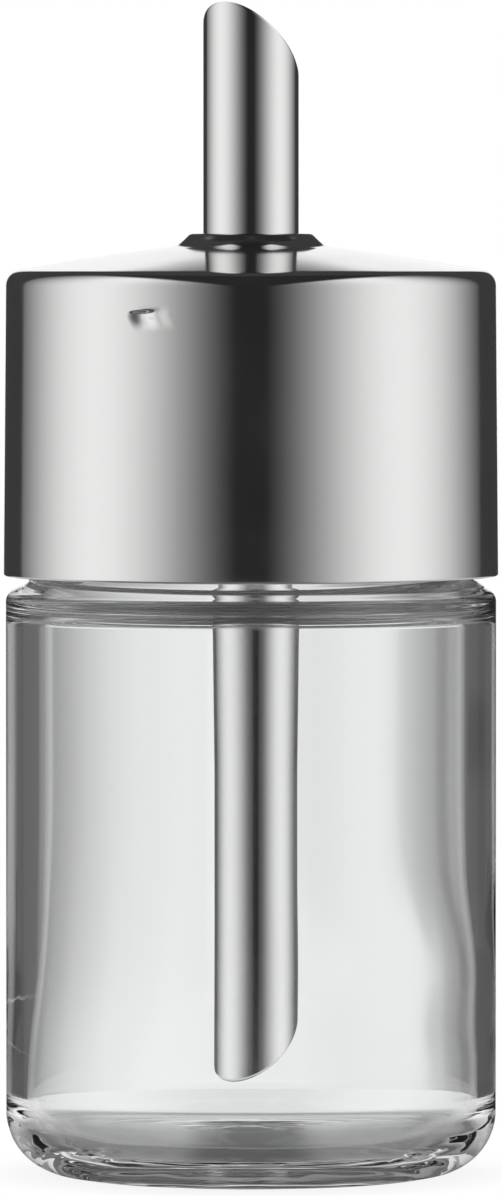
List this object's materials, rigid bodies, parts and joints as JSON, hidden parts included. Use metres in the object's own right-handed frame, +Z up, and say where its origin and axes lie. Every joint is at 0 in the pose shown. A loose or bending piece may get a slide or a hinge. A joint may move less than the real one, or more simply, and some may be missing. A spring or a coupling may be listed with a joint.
{
  "type": "sugar dispenser",
  "caption": "Round glass jar with a screwed steel cap and a slanted dosing tube through it, closed by a small hinged flap in the spout.",
  "frame": {"origin": "centre of the jar's underside, on the surface it stands on", "axes": "+Z up along the jar's axis; -Y is the side of the pouring lip and of the cap's dent, +Y the side that the spout's mouth and the flap's hinge face"},
  "size_m": [0.0612, 0.0612, 0.145],
  "materials": {
    "glass": "clear thick-walled glass, fire-polished, faintly wavy inside",
    "polished_steel": "mirror-polished stainless steel",
    "plain_steel": "plain stainless steel, lightly brushed",
    "insert_plastic": "matt white moulded plastic",
    "bush_plastic": "matt grey moulded plastic",
    "silicone": "translucent silicone"
  },
  "bodies": {
    "jar": {"glass_jar": "glass"},
    "seal": {"sealing_ring": "silicone"},
    "cap": {"cap_shell": "polished_steel", "thread_insert": "insert_plastic", "neck_bush": "bush_plastic", "spout_tube": "polished_steel", "hinge_pin": "plain_steel"},
    "flap": {"spout_flap": "plain_steel"}
  },
  "joints": [
    {"name": "cap_rise", "type": "slide", "parent": "jar", "child": "seal", "axis": [0, 0, 1], "range_m": [0, 0.005]},
    {"name": "cap_turn", "type": "hinge", "parent": "seal", "child": "cap", "pos_m": [0, 0, 0.09], "axis": [0, 0, 1], "range_deg": [0, 450]},
    {"name": "flap_swing", "type": "hinge", "parent": "cap", "child": "flap", "pos_m": [0, 0.0035, 0.1337], "axis": [-1, 0, 0], "range_deg": [0, 35]}
  ],
  "couplings": [
    {"joint": "cap_rise", "follows": "cap_turn", "m_per_rad": 0.0006366}
  ]
}
